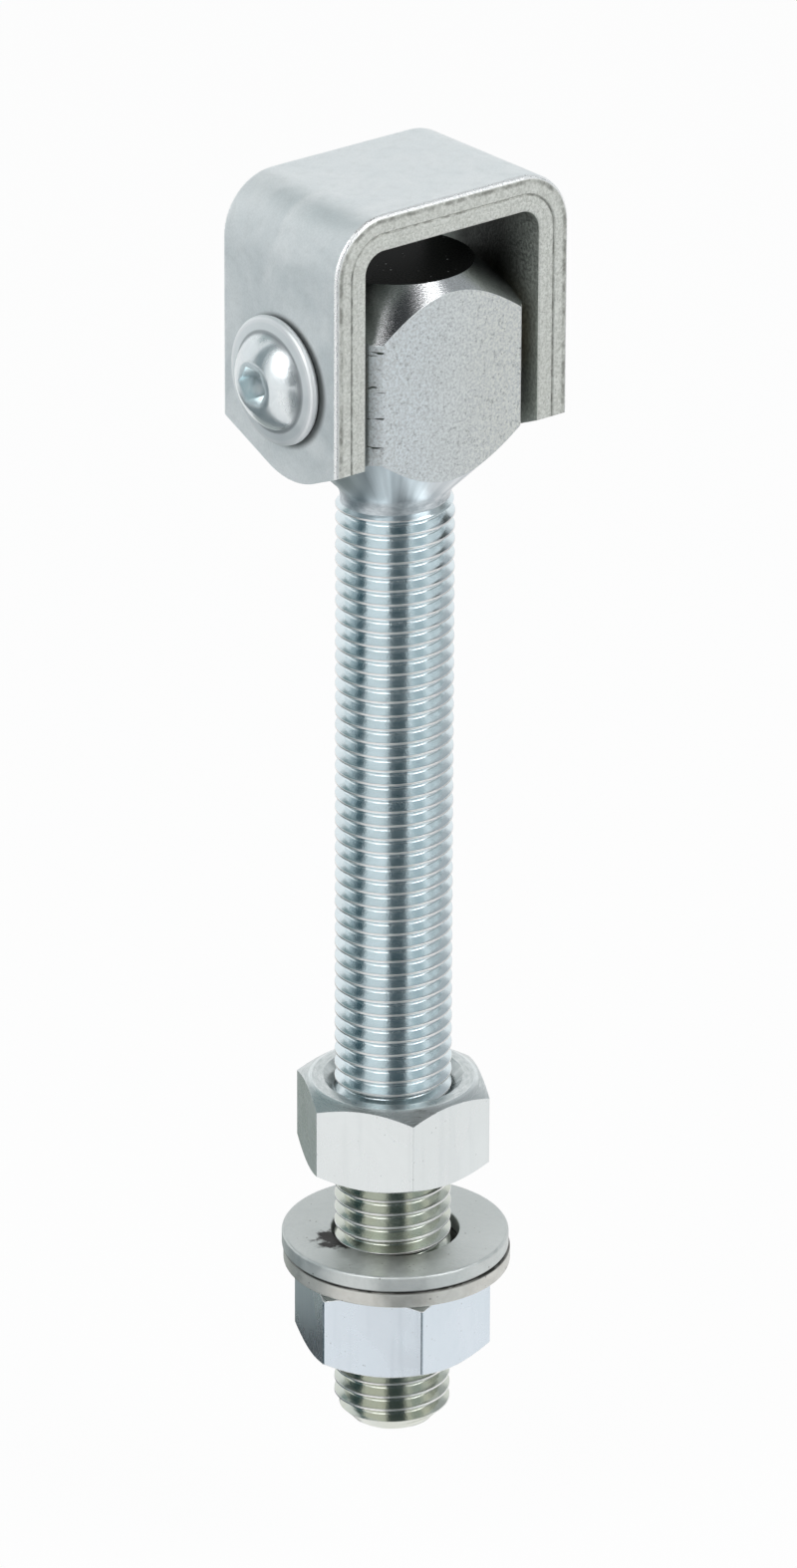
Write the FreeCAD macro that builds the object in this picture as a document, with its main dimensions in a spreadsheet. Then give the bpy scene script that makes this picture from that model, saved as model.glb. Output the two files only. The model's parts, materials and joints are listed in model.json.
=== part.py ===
import FreeCAD
import Part
import Sketcher

import enum
import math
import os

# Adjustable gate hinge.
# A strip of thick plate is folded into a U and welded on by its bridge. Between its legs a bolt with a
# block for a head swings on a pin in two flanged bushes. Two nuts and two washers on it grip the gate.
# Millimetres. The origin is the middle of the weld face, +Z points out of it, X runs along the pivot.

SIZES = (
    # Bracket
    ("plate_thickness", 6.3),
    ("bracket_depth", 30.0),
    ("bend_radius", 3.7),
    ("edge_roll", 0.9),
    ("bridge_gap", 8.7),
    ("leg_end_drop", 18.1),
    ("leg_end_offset", 3.2),
    ("leg_end_slope", 23.3),
    ("leg_end_radius", 15.0),
    ("hole_clearance", 0.25),
    # Bolt head
    ("block_width", 32.3),
    ("block_depth", 29.4),
    ("turned_diameter", 41.4),
    ("edge_rise", 7.8),
    ("edge_fall", 13.2),
    ("turned_slope", 45.0),
    ("top_face_diameter", 25.9),
    # Bolt shank
    ("thread_diameter", 20.0),
    ("thread_pitch", 2.5),
    ("bolt_length", 197.3),
    ("neck_length", 2.3),
    ("neck_round", 4.0),
    ("tip_chamfer", 3.0),
    ("tip_length", 13.4),
    # Pivot pin and bushes
    ("pin_diameter", 14.0),
    ("pin_chamfer", 0.5),
    ("running_clearance", 0.05),
    ("seat_clearance", 0.02),
    ("side_clearance", 0.15),
    ("bush_wall", 1.5),
    ("bush_flange", 1.9),
    ("bush_lip", 1.6),
    ("bush_length", 9.0),
    # Pivot screws
    ("screw_diameter", 10.0),
    ("screw_length", 16.0),
    ("screw_chamfer", 1.0),
    ("screw_clearance", 0.05),
    ("tap_run_out", 2.0),
    ("drill_point", 31.0),
    ("flange_diameter", 21.9),
    ("flange_rim", 1.3),
    ("flange_height", 2.0),
    ("dome_diameter", 16.6),
    ("dome_radius", 8.0),
    ("head_height", 5.5),
    ("socket_width", 6.0),
    ("socket_depth", 3.2),
    ("socket_land", 0.6),
    # Nuts
    ("nut_width", 30.0),
    ("nut_height", 15.8),
    ("upper_nut_turn", 2.6),
    ("lower_nut_turn", 8.4),
    ("nut_face_inset", 1.0),
    ("nut_bevel", 30.0),
    ("nut_countersink", 1.9),
    ("thread_clearance", 0.08),
    # Washers
    ("washer_diameter", 39.0),
    ("washer_thickness", 3.0),
    ("washer_clearance", 1.0),
    ("washer_edge", 0.5),
    ("upper_washer_shift", 0.6),
    ("lower_washer_shift", 0.95),
    # Room for the gate between the upper nut and the washers
    ("grip_gap", 13.4),
)

# Cutters run past the faces that they cut by this much
OVERSHOOT = "(Sizes.block_width / 10)"

# Bolt head: its corners are turned round, and bevels run from there to the top face and to the neck
TURNED_RADIUS = "(Sizes.turned_diameter / 2)"
BEVEL = "tan(Sizes.turned_slope)"
TOP_RADIUS = "(Sizes.top_face_diameter / 2)"
THREAD_RADIUS = "(Sizes.thread_diameter / 2)"
# A rolled thread starts from a blank as thick as its pitch diameter
NECK_RADIUS = "(Sizes.thread_diameter / 2 - 0.3248 * Sizes.thread_pitch)"
HEAD_RISE = f"(Sizes.edge_rise + ({TURNED_RADIUS} - {TOP_RADIUS}) * {BEVEL})"
HEAD_FALL = f"(Sizes.edge_fall + ({TURNED_RADIUS} - {NECK_RADIUS}) * {BEVEL})"

# Bracket: wide enough for the block between its two bush flanges
PIVOT_DROP = f"(Sizes.plate_thickness + Sizes.bridge_gap + {HEAD_RISE})"
INNER_HALF = "(Sizes.block_width / 2 + Sizes.bush_flange + Sizes.side_clearance)"
OUTER_HALF = f"({INNER_HALF} + Sizes.plate_thickness)"
BEND_OUTER = "(Sizes.bend_radius + Sizes.plate_thickness)"

# Pivot: pin in bush, bush in block
PIN_RADIUS = "(Sizes.pin_diameter / 2)"
BUSH_BORE = f"({PIN_RADIUS} + Sizes.running_clearance)"
BUSH_RADIUS = f"({BUSH_BORE} + Sizes.bush_wall)"
SCREW_RADIUS = "(Sizes.screw_diameter / 2)"

# Nuts and washers, worked up from the tip and measured down from the pivot
LOWER_NUT = "(Sizes.bolt_length - Sizes.tip_length - Sizes.nut_height / 2)"
LOWER_WASHER = f"({LOWER_NUT} - Sizes.nut_height / 2 - Sizes.seat_clearance)"
UPPER_WASHER = f"({LOWER_WASHER} - Sizes.washer_thickness)"
UPPER_NUT = f"({UPPER_WASHER} - Sizes.washer_thickness - Sizes.grip_gap - Sizes.nut_height / 2)"
NUT_CORNER = "(Sizes.nut_width / sqrt(3))"
NUT_FACE = "(Sizes.nut_width / 2 - Sizes.nut_face_inset)"
NUT_BORE = f"({THREAD_RADIUS} + Sizes.thread_clearance)"
HALF_NUT = "(Sizes.nut_height / 2)"


class At(enum.IntEnum):
    """How a sketch numbers the points of a line, an arc or a circle."""
    START = 1
    END = 2
    CENTRE = 3


doc = FreeCAD.newDocument("gate_hinge")
sheet = doc.addObject("Spreadsheet::Sheet", "Sizes")
for row, (alias, size) in enumerate(SIZES, start=1):
    sheet.set(f"A{row}", str(size))
    sheet.setAlias(f"A{row}", alias)
doc.recompute()


def number(expression):
    """The present value of an expression, used to start a sketch near its solution."""
    return float(sheet.evalExpression(expression))


def origin_plane(body, role):
    return next(item for item in body.Origin.OriginFeatures if item.Role == role)


def new_body(label, drop, along="0", turn=0.0):
    """A sub-part whose own origin hangs by drop under the weld face, moved along X and turned about Z."""
    body = doc.addObject("PartDesign::Body", label)
    body.Label = label
    body.Placement = FreeCAD.Placement(FreeCAD.Vector(), FreeCAD.Rotation(FreeCAD.Vector(0, 0, 1), turn))
    body.setExpression("Placement.Base.x", along)
    body.setExpression("Placement.Base.z", f"-{drop}")
    return body


def new_sketch(body, name, role):
    sketch = body.newObject("Sketcher::SketchObject", f"{body.Name}_{name}")
    sketch.AttachmentSupport = (origin_plane(body, role), [""])
    sketch.MapMode = "FlatFace"
    return sketch


def bind(sketch, name, constraint, expression):
    """Add a constraint and tie its size to the sheet."""
    sketch.renameConstraint(sketch.addConstraint(constraint), name)
    sketch.setExpression(f"Constraints.{name}", expression)


def outline(body, name, role, corners, arcs=None):
    """A closed sketch through corners, each a pair of expressions. arcs gives the sides that are round."""
    arcs = arcs or {}
    sketch = new_sketch(body, name, role)
    points = [FreeCAD.Vector(number(across), number(up), 0) for across, up in corners]
    ends = []
    for side, start in enumerate(points):
        end = points[(side + 1) % len(points)]
        if side not in arcs:
            sketch.addGeometry(Part.LineSegment(start, end))
            ends.append((At.START, At.END))
            continue
        radius, across, up = arcs[side]
        centre = FreeCAD.Vector(number(across), number(up), 0)
        runs_left = (start - centre).cross(end - centre).z > 0
        first, last = (start, end) if runs_left else (end, start)
        angles = [math.atan2(point.y - centre.y, point.x - centre.x) for point in (first, last)]
        circle = Part.Circle(centre, FreeCAD.Vector(0, 0, 1), number(radius))
        sketch.addGeometry(Part.ArcOfCircle(circle, *angles))
        ends.append((At.START, At.END) if runs_left else (At.END, At.START))
    for side, (first, last) in enumerate(ends):
        following = (side + 1) % len(points)
        sketch.addConstraint(Sketcher.Constraint("Coincident", side, last, following, ends[following][0]))
    for side, (across, up) in enumerate(corners):
        place = points[side]
        first = ends[side][0]
        along = Sketcher.Constraint("DistanceX", -1, At.START, side, first, place.x)
        upward = Sketcher.Constraint("DistanceY", -1, At.START, side, first, place.y)
        bind(sketch, f"across{side}", along, across)
        bind(sketch, f"up{side}", upward, up)
    for side, (radius, across, up) in arcs.items():
        bind(sketch, f"radius{side}", Sketcher.Constraint("Radius", side, number(radius)), radius)
    return sketch


def rings(body, name, role, radii):
    """A sketch of circles about the body's own origin."""
    sketch = new_sketch(body, name, role)
    for ring, radius in enumerate(radii):
        sketch.addGeometry(Part.Circle(FreeCAD.Vector(), FreeCAD.Vector(0, 0, 1), number(radius)))
        sketch.addConstraint(Sketcher.Constraint("Coincident", ring, At.CENTRE, -1, At.START))
        bind(sketch, f"ring{ring}", Sketcher.Constraint("Radius", ring, number(radius)), radius)
    return sketch


def hexagon(body, name, role, corner):
    """A six-sided sketch with a corner on its first axis."""
    angles = range(0, 360, 60)
    corners = [(f"{corner} * cos({angle})", f"{corner} * sin({angle})") for angle in angles]
    return outline(body, name, role, corners)


def feature(body, kind, name, sketch):
    made = body.newObject(f"PartDesign::{kind}", f"{body.Name}_{name}")
    made.Profile = sketch
    sketch.Visibility = False
    return made


def pad_both_ways(body, name, sketch, length):
    pad = feature(body, "Pad", name, sketch)
    pad.SideType = "Symmetric"
    pad.setExpression("Length", length)
    return pad


def pocket_through(body, name, sketch):
    pocket = feature(body, "Pocket", name, sketch)
    pocket.SideType = "Symmetric"
    pocket.Type = "ThroughAll"
    return pocket


def turned(body, kind, name, sketch, axis):
    """A full Revolution or Groove about one of the sketch's own axes."""
    made = feature(body, kind, name, sketch)
    made.ReferenceAxis = (sketch, [axis])
    made.Angle = 360
    return made


def mirror(body, name, originals, role):
    """Repeat features on the far side of an origin plane."""
    mirrored = body.newObject("PartDesign::Mirrored", f"{body.Name}_{name}")
    mirrored.Originals = originals
    mirrored.MirrorPlane = (origin_plane(body, role), [""])
    body.Tip = mirrored
    return mirrored


def ease_rims(body, base, radius, kind, size):
    """Put a Fillet or a Chamfer on the edges of a given radius, and on the edges that run on smoothly."""
    doc.recompute()
    edges = [
        f"Edge{place}"
        for place, edge in enumerate(base.Shape.Edges, start=1)
        if isinstance(edge.Curve, Part.Circle) and math.isclose(edge.Curve.Radius, number(radius))
    ]
    eased = body.newObject(f"PartDesign::{kind}", f"{body.Name}_rims")
    eased.Base = (base, edges)
    eased.setExpression("Radius" if kind == "Fillet" else "Size", size)
    return eased


def make_bracket():
    """A folded strip: a U section with rolled outer edges, cropped leg ends and the pivot holes."""
    body = new_body("u_bracket", PIVOT_DROP)
    underside = f"({PIVOT_DROP} - Sizes.plate_thickness)"
    bend_top = f"({PIVOT_DROP} - {BEND_OUTER})"
    bend_side = f"({OUTER_HALF} - {BEND_OUTER})"
    section = [
        (f"-{OUTER_HALF}", "-Sizes.leg_end_drop"),
        (f"-{OUTER_HALF}", bend_top),
        (f"-{bend_side}", PIVOT_DROP),
        (bend_side, PIVOT_DROP),
        (OUTER_HALF, bend_top),
        (OUTER_HALF, "-Sizes.leg_end_drop"),
        (INNER_HALF, "-Sizes.leg_end_drop"),
        (INNER_HALF, bend_top),
        (bend_side, underside),
        (f"-{bend_side}", underside),
        (f"-{INNER_HALF}", bend_top),
        (f"-{INNER_HALF}", "-Sizes.leg_end_drop"),
    ]
    bends = {
        1: (BEND_OUTER, f"-{bend_side}", bend_top),
        3: (BEND_OUTER, bend_side, bend_top),
        7: ("Sizes.bend_radius", bend_side, bend_top),
        9: ("Sizes.bend_radius", f"-{bend_side}", bend_top),
    }
    strip = outline(body, "section", "XZ_Plane", section, bends)
    folded = pad_both_ways(body, "strip", strip, "Sizes.bracket_depth")
    ease_rims(body, folded, BEND_OUTER, "Fillet", "Sizes.edge_roll")

    reach = "Sizes.bracket_depth"
    slope = "tan(Sizes.leg_end_slope)"
    middle = "-Sizes.leg_end_offset"
    centre = "(Sizes.leg_end_radius / cos(Sizes.leg_end_slope) - Sizes.leg_end_drop)"
    tangent = "Sizes.leg_end_radius * sin(Sizes.leg_end_slope)"
    tangent_up = f"{centre} - Sizes.leg_end_radius * cos(Sizes.leg_end_slope)"
    below = f"-(Sizes.leg_end_drop + {reach})"
    crop = [
        (reach, f"({reach} + Sizes.leg_end_offset) * {slope} - Sizes.leg_end_drop"),
        (f"{middle} + {tangent}", tangent_up),
        (f"{middle} - {tangent}", tangent_up),
        (f"-{reach}", f"({reach} - Sizes.leg_end_offset) * {slope} - Sizes.leg_end_drop"),
        (f"-{reach}", below),
        (reach, below),
    ]
    cropped = outline(body, "leg_end", "YZ_Plane", crop, {1: ("Sizes.leg_end_radius", middle, centre)})
    pocket_through(body, "crop", cropped)

    hole = rings(body, "hole", "YZ_Plane", [f"{SCREW_RADIUS} + Sizes.hole_clearance"])
    pocket_through(body, "holes", hole)
    return body


def make_bolt():
    """A block with turned corners and bevels for a head, then the shank and the bore for the bushes."""
    body = new_body("hinge_bolt", PIVOT_DROP)
    width = "Sizes.block_width / 2"
    depth = "Sizes.block_depth / 2"
    plan = [(width, depth), (f"-{width}", depth), (f"-{width}", f"-{depth}"), (width, f"-{depth}")]
    block = feature(body, "Pad", "block", outline(body, "plan", "XY_Plane", plan))
    block.SideType = "Two sides"
    block.setExpression("Length", HEAD_RISE)
    block.setExpression("Length2", HEAD_FALL)

    outside = f"({TURNED_RADIUS} + Sizes.block_width)"
    above = f"({HEAD_RISE} + {OVERSHOOT} * {BEVEL})"
    below = f"-({HEAD_FALL} + {OVERSHOOT} * {BEVEL})"
    turning = [
        (f"{TOP_RADIUS} - {OVERSHOOT}", above),
        (TURNED_RADIUS, "Sizes.edge_rise"),
        (TURNED_RADIUS, "-Sizes.edge_fall"),
        (f"{NECK_RADIUS} - {OVERSHOOT}", below),
        (outside, below),
        (outside, above),
    ]
    turned(body, "Groove", "turned_corners", outline(body, "turning", "XZ_Plane", turning), "V_Axis")

    # A round as long as run on each side leads from the lower bevel into the neck
    neck_end = f"({HEAD_FALL} + Sizes.neck_length)"
    slope = "Sizes.turned_slope"
    run = f"(Sizes.neck_round * tan(45 - {slope} / 2))"
    round_end = f"-({HEAD_FALL} + {run})"
    profile = [
        ("0", "-Sizes.edge_fall"),
        ("0", "-Sizes.bolt_length"),
        (f"{THREAD_RADIUS} - Sizes.tip_chamfer", "-Sizes.bolt_length"),
        (THREAD_RADIUS, "Sizes.tip_chamfer - Sizes.bolt_length"),
        (THREAD_RADIUS, f"-({neck_end} + {THREAD_RADIUS} - {NECK_RADIUS})"),
        (NECK_RADIUS, f"-{neck_end}"),
        (NECK_RADIUS, round_end),
        (f"{NECK_RADIUS} + {run} * cos({slope})", f"{run} * sin({slope}) - {HEAD_FALL}"),
    ]
    neck = {6: ("Sizes.neck_round", f"{NECK_RADIUS} + Sizes.neck_round", round_end)}
    turned(body, "Revolution", "shank", outline(body, "shank_half", "XZ_Plane", profile, neck), "V_Axis")

    bore = rings(body, "bore", "YZ_Plane", [f"{BUSH_RADIUS} + Sizes.seat_clearance"])
    pocket_through(body, "cross_bore", bore)
    return body


def make_pin():
    """A plain pin that fills the space between the legs, tapped at both ends for the screws."""
    body = new_body("pivot_pin", PIVOT_DROP)
    shoulder = f"({INNER_HALF} - Sizes.pin_chamfer)"
    face = f"{PIN_RADIUS} - Sizes.pin_chamfer"
    profile = [
        (f"-{INNER_HALF}", "0"),
        (INNER_HALF, "0"),
        (INNER_HALF, face),
        (shoulder, PIN_RADIUS),
        (f"-{shoulder}", PIN_RADIUS),
        (f"-{INNER_HALF}", face),
    ]
    turned(body, "Revolution", "rod", outline(body, "rod_half", "XZ_Plane", profile), "H_Axis")

    tap_radius = f"({SCREW_RADIUS} + Sizes.screw_clearance)"
    floor = f"({INNER_HALF} + Sizes.plate_thickness - Sizes.screw_length - Sizes.tap_run_out)"
    tapped = [
        (f"{floor} - {tap_radius} * tan(Sizes.drill_point)", "0"),
        (f"{INNER_HALF} + {OVERSHOOT}", "0"),
        (f"{INNER_HALF} + {OVERSHOOT}", tap_radius),
        (floor, tap_radius),
    ]
    hole = turned(body, "Groove", "tapped_hole", outline(body, "hole_half", "XZ_Plane", tapped), "H_Axis")
    mirror(body, "tapped_holes", [hole], "YZ_Plane")
    return body


def make_bush(label, turn):
    """A flanged bush: its sleeve sits in the block and its flange fills the gap to the leg."""
    body = new_body(label, PIVOT_DROP, turn=turn)
    face = "Sizes.block_width / 2"
    inner = f"{face} - Sizes.bush_length"
    outer = f"{face} + Sizes.bush_flange"
    lip = f"{BUSH_RADIUS} + Sizes.bush_lip"
    profile = [
        (inner, BUSH_BORE),
        (outer, BUSH_BORE),
        (outer, lip),
        (face, lip),
        (face, BUSH_RADIUS),
        (inner, BUSH_RADIUS),
    ]
    turned(body, "Revolution", "turning", outline(body, "half", "XZ_Plane", profile), "H_Axis")
    return body


def make_screw(label, along, turn):
    """A domed screw with a flange under its head and a hexagon socket, seated on the outside of a leg."""
    body = new_body(label, PIVOT_DROP, along, turn)
    flange = "Sizes.flange_diameter / 2"
    dome = "Sizes.dome_diameter / 2"
    crown = "(Sizes.socket_width / sqrt(3) + Sizes.socket_land)"
    # The round of the dome passes through the edge of the flange and the edge of the crown
    rise = "(Sizes.head_height - Sizes.flange_height)"
    fall = f"({dome} - {crown})"
    chord = f"sqrt({rise} ^ 2 + {fall} ^ 2)"
    sink = f"(sqrt(Sizes.dome_radius ^ 2 - ({chord} / 2) ^ 2) / {chord})"
    centre_along = f"Sizes.flange_height + {rise} / 2 - {sink} * {fall}"
    centre_out = f"({dome} + {crown}) / 2 - {sink} * {rise}"
    profile = [
        ("-Sizes.screw_length", "0"),
        ("Sizes.head_height", "0"),
        ("Sizes.head_height", crown),
        ("Sizes.flange_height", dome),
        ("Sizes.flange_rim", flange),
        ("0", flange),
        ("0", SCREW_RADIUS),
        ("Sizes.screw_chamfer - Sizes.screw_length", SCREW_RADIUS),
        ("-Sizes.screw_length", f"{SCREW_RADIUS} - Sizes.screw_chamfer"),
    ]
    round_side = {2: ("Sizes.dome_radius", centre_along, centre_out)}
    half = outline(body, "half", "XZ_Plane", profile, round_side)
    turned(body, "Revolution", "turning", half, "H_Axis")

    key = hexagon(body, "key", "YZ_Plane", "Sizes.socket_width / sqrt(3)")
    key.setExpression("AttachmentOffset.Base.z", "Sizes.head_height - Sizes.socket_depth")
    socket = feature(body, "Pocket", "socket", key)
    socket.Type = "ThroughAll"
    socket.Reversed = True
    return body


def make_nut(label, drop, turn):
    """A hexagon nut, bevelled and countersunk on both faces."""
    body = new_body(label, f"({PIVOT_DROP} + {drop})", turn=number(turn))
    pad_both_ways(body, "blank", hexagon(body, "flats", "XY_Plane", NUT_CORNER), "Sizes.nut_height")
    pocket_through(body, "thread_bore", rings(body, "bore", "XY_Plane", [NUT_BORE]))

    slope = "tan(Sizes.nut_bevel)"
    above = f"{HALF_NUT} + {OVERSHOOT}"
    outside = f"({NUT_CORNER} + {OVERSHOOT})"
    corner_cut = [
        (f"{NUT_FACE} - {OVERSHOOT} / {slope}", above),
        (outside, f"{HALF_NUT} - ({outside} - {NUT_FACE}) * {slope}"),
        (outside, above),
    ]
    bevel = turned(body, "Groove", "bevel", outline(body, "bevel_cut", "XZ_Plane", corner_cut), "V_Axis")

    mouth = [
        (f"{NUT_BORE} - {OVERSHOOT}", above),
        (f"{NUT_BORE} - {OVERSHOOT}", f"{HALF_NUT} - Sizes.nut_countersink - {OVERSHOOT}"),
        (f"{NUT_BORE} + Sizes.nut_countersink + {OVERSHOOT}", above),
    ]
    sink = turned(body, "Groove", "countersink", outline(body, "mouth", "XZ_Plane", mouth), "V_Axis")
    mirror(body, "far_face", [bevel, sink], "XY_Plane")
    return body


def make_washer(label, drop, shift):
    """A punched washer with eased rims, lying a little to one side of the bolt."""
    body = new_body(label, f"({PIVOT_DROP} + {drop})", shift)
    rim = "Sizes.washer_diameter / 2"
    ring = rings(body, "ring", "XY_Plane", [rim, f"{THREAD_RADIUS} + Sizes.washer_clearance"])
    blank = feature(body, "Pad", "blank", ring)
    blank.setExpression("Length", "Sizes.washer_thickness")
    ease_rims(body, blank, rim, "Chamfer", "Sizes.washer_edge")
    return body


def check(bodies):
    """Stop if a feature failed, a cut removed nothing or a piece isn't one sound solid."""
    for item in doc.Objects:
        if "Invalid" in item.State or "Error" in item.State:
            raise RuntimeError(f"{item.Name} failed: {item.State}")
        if item.TypeId in ("PartDesign::Pocket", "PartDesign::Groove"):
            if item.Shape.Volume >= item.BaseFeature.Shape.Volume:
                raise RuntimeError(f"{item.Name} cut nothing")
    for body in bodies:
        if body.Shape.isNull() or not body.Shape.isValid() or len(body.Shape.Solids) != 1:
            raise RuntimeError(f"{body.Label} is not one sound solid")


bodies = [
    make_bracket(),
    make_bolt(),
    make_pin(),
    make_bush("bush_left", 180.0),
    make_bush("bush_right", 0.0),
    make_screw("pivot_screw_left", f"-{OUTER_HALF}", 180.0),
    make_screw("pivot_screw_right", OUTER_HALF, 0.0),
    make_nut("upper_nut", UPPER_NUT, "Sizes.upper_nut_turn"),
    make_washer("upper_washer", UPPER_WASHER, "Sizes.upper_washer_shift"),
    make_washer("lower_washer", LOWER_WASHER, "Sizes.lower_washer_shift"),
    make_nut("lower_nut", LOWER_NUT, "Sizes.lower_nut_turn"),
]
doc.recompute()
check(bodies)

os.makedirs("parts", exist_ok=True)
for body in bodies:
    body.Shape.exportStep(os.path.join("parts", f"{body.Label}.step"))
    box = body.Shape.optimalBoundingBox()
    print(f"{body.Label}: {body.Shape.Volume:.1f} mm3, z {box.ZMin:.2f} to {box.ZMax:.2f}")
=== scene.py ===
import json
import math

import bmesh
import bpy
from mathutils import Matrix, Vector


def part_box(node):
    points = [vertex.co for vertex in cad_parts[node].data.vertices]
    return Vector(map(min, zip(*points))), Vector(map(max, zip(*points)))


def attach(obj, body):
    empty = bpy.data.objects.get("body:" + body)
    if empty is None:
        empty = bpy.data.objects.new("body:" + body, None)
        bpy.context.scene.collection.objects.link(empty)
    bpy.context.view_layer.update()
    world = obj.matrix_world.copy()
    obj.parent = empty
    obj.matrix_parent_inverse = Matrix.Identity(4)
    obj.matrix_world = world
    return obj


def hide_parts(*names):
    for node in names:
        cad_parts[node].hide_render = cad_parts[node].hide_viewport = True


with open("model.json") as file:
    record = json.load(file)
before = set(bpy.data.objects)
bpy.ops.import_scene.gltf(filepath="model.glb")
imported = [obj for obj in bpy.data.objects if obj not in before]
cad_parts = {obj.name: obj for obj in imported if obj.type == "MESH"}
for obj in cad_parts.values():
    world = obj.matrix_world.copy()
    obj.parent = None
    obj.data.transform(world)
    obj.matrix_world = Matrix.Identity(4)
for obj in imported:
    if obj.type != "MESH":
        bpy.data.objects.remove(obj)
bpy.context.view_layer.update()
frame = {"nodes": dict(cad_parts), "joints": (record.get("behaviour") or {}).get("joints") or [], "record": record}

# Lengths are metres and angles are degrees
MM = 0.001
MERGE = 0.002 * MM

# Places that the frame gives
BRACKET_LOW, BRACKET_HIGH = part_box("u_bracket")
BOLT_LOW, BOLT_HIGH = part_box("hinge_bolt")
SCREW_LOW, SCREW_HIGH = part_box("pivot_screw_right")
PIVOT = Vector(next(joint["pos_m"] for joint in frame["joints"] if joint["name"] == "pivot"))

# Bracket: a folded strip whose edges were sheared
PLATE = 6.3 * MM
BEND_RADIUS = 3.7 * MM
LEG_END_SLOPE = 23.3
LEG_END_RADIUS = 15.0 * MM
LEG_END_OFFSET = -3.2 * MM
LEG_END_STEPS = 8
SCREW_HOLE = 5.25 * MM
SHEAR_ROLL = 0.9 * MM
SHEAR_GROOVE = 3.3 * MM
GROOVE_LEAD = 0.30 * MM
GROOVE_TRAIL = 0.25 * MM
GROOVE_DEPTH = 0.24 * MM
BREAK_DEPTH = 0.10 * MM
SHEAR_LINE = 4.6 * MM
LINE_HALF = 0.15 * MM
LINE_DEPTH = 0.18 * MM
INNER_DEPTH = 0.13 * MM
INNER_EDGE = 0.35 * MM
BEND_STEPS = 14
# Share of the inside's half depth from which painted light grows towards the front and back edges
INSIDE_LIT_START = 0.25
# Painted shadow on the plate round the screws' flanges: shift to the front, reach, fade and strength
FLANGE_SHADOW_SHIFT = 0.8 * MM
FLANGE_SHADOW_REACH = 11.9 * MM
FLANGE_SHADOW_FADE = 1.4 * MM
FLANGE_SHADOW_STRENGTH = 0.9

# Bolt head: a block with turned corners, and cones above and below
HEAD_SPIN = 160
TURNED_RADIUS = 20.7 * MM
TOP_FACE = 12.95 * MM
EDGE_RISE = 7.8 * MM
EDGE_FALL = 13.2 * MM
NECK_RADIUS = 9.188 * MM
NECK_ROUND = 4.0 * MM
NECK_LENGTH = 0.4 * MM
BUSH_BORE = 8.57 * MM
HEAD_CORNER_ROUND = 0.3 * MM
HEAD_ARC_ROUND = 0.16 * MM
HEAD_ARC_ANGLE = 24.0
FLAT_ANGLE = 12.0
CRACK_SCALE = (180, 180, 1500)

# Bolt shank: a rolled right-hand thread
THREAD_RADIUS = 10.0 * MM
THREAD_PITCH = 2.5 * MM
THREAD_STEPS = 60
THREAD_DOUBLINGS = 4
THREAD_DEPTH = 0.6134 * THREAD_PITCH
ROOT_ROUND = 0.144 * THREAD_PITCH
CREST_HALF = THREAD_PITCH / 16
CREST_DROP = 0.07 * MM
CREST_SIDE = 0.045 * MM
CREST_EASE = 0.03 * MM
THREAD_RUN_OUT = 2.4 * MM
THREAD_HIDDEN = 0.05 * MM
THREAD_OVERLAP = 0.5 * MM
TIP_CHAMFER = 3.0 * MM
# Heights between which the thread's plating turns from bluish to greenish
GREENER_START = -165.0 * MM
GREENER_FULL = -182.0 * MM

# Nuts and washers
NUT_FLAT = 15.0 * MM
NUT_FACE = 14.0 * MM
NUT_BORE = 10.08 * MM
NUT_COUNTERSINK = 1.9 * MM
NUT_BEVEL = 30.0
UPPER_NUT_TURN = 2.6
LOWER_NUT_TURN = 8.4
NUT_SPIN = 144
NUT_CORNER_ROUND = 1.0 * MM
NUT_ARC_ROUND = 0.4 * MM
NUT_ARC_ANGLE = 18.0
NUT_MARGIN = 1.0 * MM
NUT_EASE = 0.12 * MM
SINK_EASE_IN = 0.15 * MM
SINK_EASE_OUT = 0.10 * MM
FACE_EASE_IN = 0.25 * MM
FACE_EASE_OUT = 0.20 * MM
WASHER_BORE = 11.0 * MM
WASHER_EDGE = 0.5 * MM
WASHER_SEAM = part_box("upper_washer")[0].z
WASHER_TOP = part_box("upper_washer")[1].z
# Dark patches on the upper washer: centre, reach, ragged share, strength and colour. The first is a dark brown
# patch left of the bore; the second is a painted shadow and reflection of the thread in front of the bore.
DARK_PATCHES = (
    (Vector((-10.0 * MM, 2.6 * MM, WASHER_TOP)), 5.8 * MM, 0.4, 0.98, (0.012, 0.009, 0.008)),
    (Vector((-5.0 * MM, -6.5 * MM, WASHER_TOP)), 11.5 * MM, 0.1, 0.85, (0.13, 0.13, 0.115)),
)
PATCH_CORE = 1.6

# Pivot screws
SCREW_SPIN = 96
SCREW_RADIUS = 5.0 * MM
SCREW_CHAMFER = 1.0 * MM
FLANGE_RIM = 1.7 * MM
FLANGE_RISE = 2.0 * MM
DOME_FOOT = 8.3 * MM
DOME_RADIUS = 8.0 * MM
HEAD_HEIGHT = 5.5 * MM
SOCKET_CORNER = 3.464 * MM
SOCKET_DEPTH = 3.2 * MM
SOCKET_LAND = 0.6 * MM
SOCKET_MARGIN = 1.1

# Finishes: the depth of each relief, and the directions across the pivot's and the bolt's axis
PLATE_RELIEF = 0.004 * MM
INSIDE_RELIEF = 0.02 * MM
SHEAR_RELIEF = 0.03 * MM
FLAT_RELIEF = 0.025 * MM
CONE_RELIEF = 0.008 * MM
THREAD_RELIEF = 0.004 * MM
SCREW_RELIEF = 0.003 * MM
NUT_RELIEF = 0.004 * MM
WASHER_RELIEF = 0.012 * MM
BUSH_RELIEF = 0.02 * MM
ACROSS_X = (0, 1, 1)
ACROSS_Z = (1, 1, 0)

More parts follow.
